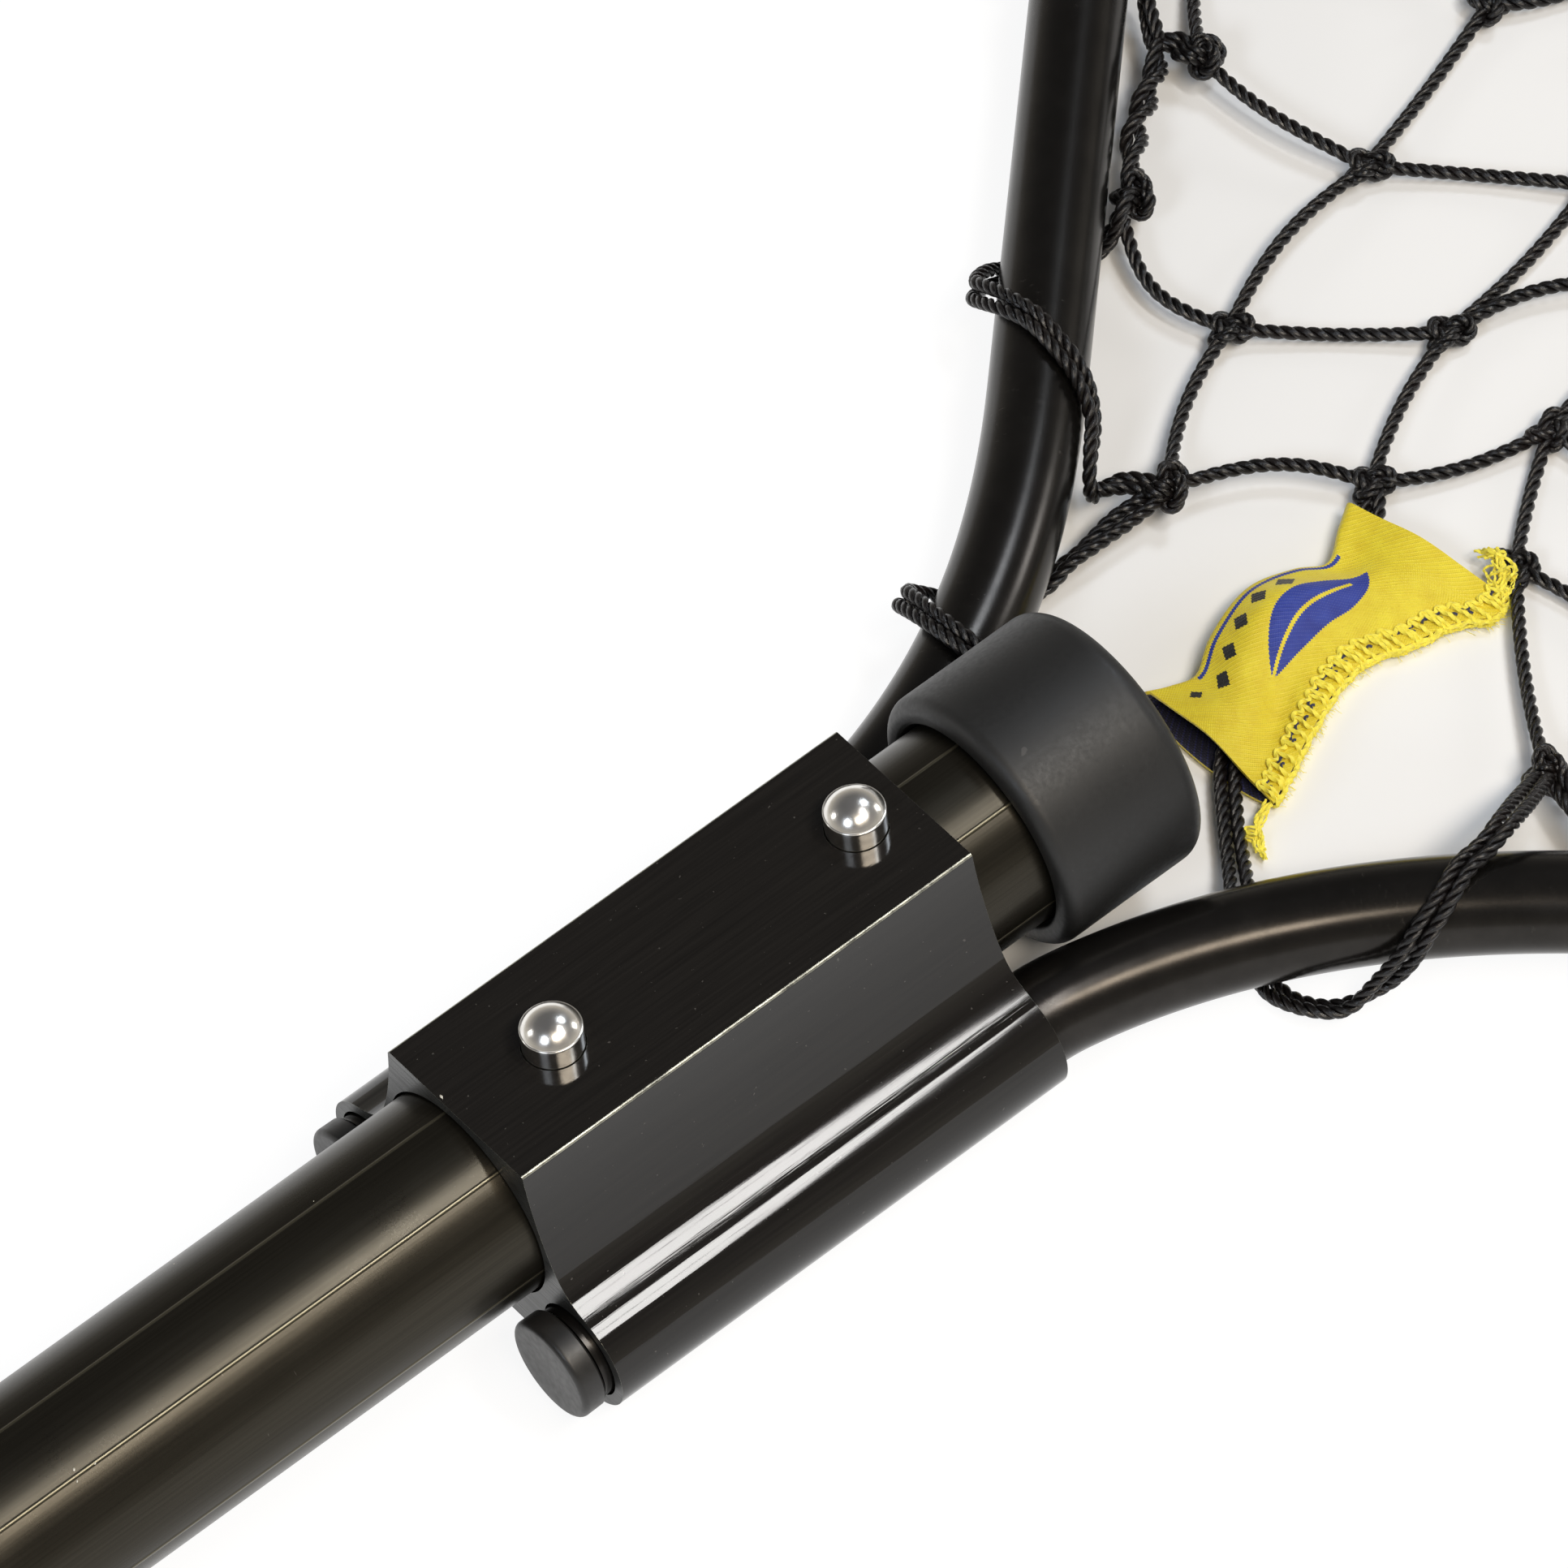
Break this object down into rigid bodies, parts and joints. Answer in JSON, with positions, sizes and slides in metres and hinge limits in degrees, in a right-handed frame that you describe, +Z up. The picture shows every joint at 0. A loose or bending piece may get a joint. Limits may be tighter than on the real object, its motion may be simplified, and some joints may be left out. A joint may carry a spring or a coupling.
{
  "type": "landing net",
  "caption": "Long-handled landing net: teardrop hoop with knotted netting, extruded yoke, sliding tube handle locked by snap buttons, rubber cap and grip.",
  "frame": {"origin": "middle of the footprint, on the surface the net lies on", "axes": "+X along the handle towards the hoop, +Y to the left, +Z up"},
  "size_m": [1.5226, 0.5267, 0.043],
  "materials": {
    "yoke": "gloss black anodised extrusion",
    "tube": "satin black anodised tube",
    "rubber": "matte black moulded rubber",
    "grip": "matte closed-cell foam",
    "button": "polished chrome",
    "spring": "spring steel strip",
    "rivet": "plain steel",
    "plug": "matte black plastic",
    "net": "glossy black twisted nylon cord",
    "label": "yellow woven label"
  },
  "bodies": {
    "frame": {"yoke": "yoke", "hoop_tube": "tube", "hoop_plug_left": "plug", "hoop_plug_right": "plug", "hoop_rivet_left": "rivet", "hoop_rivet_right": "rivet", "net_bag": "net", "net_lacing_cord": "net", "net_label": "label"},
    "handle": {"handle_tube": "tube", "front_cap": "rubber", "foam_grip": "grip", "butt_cap": "rubber", "front_button_spring": "spring", "rear_button_spring": "spring"},
    "front_button": {"front_button": "button"},
    "rear_button": {"rear_button": "button"}
  },
  "joints": [
    {"name": "handle_slide", "type": "slide", "parent": "frame", "child": "handle", "axis": [1, 0, 0], "range_m": [0, 0.56]},
    {"name": "front_button_press", "type": "slide", "parent": "handle", "child": "front_button", "axis": [0, 0, -1], "range_m": [0, 0.0072], "stiffness_N_per_m": 500, "springref_m": -0.002, "deforming": ["front_button_spring"]},
    {"name": "rear_button_press", "type": "slide", "parent": "handle", "child": "rear_button", "axis": [0, 0, -1], "range_m": [0, 0.0072], "stiffness_N_per_m": 500, "springref_m": -0.002, "deforming": ["rear_button_spring"]}
  ]
}
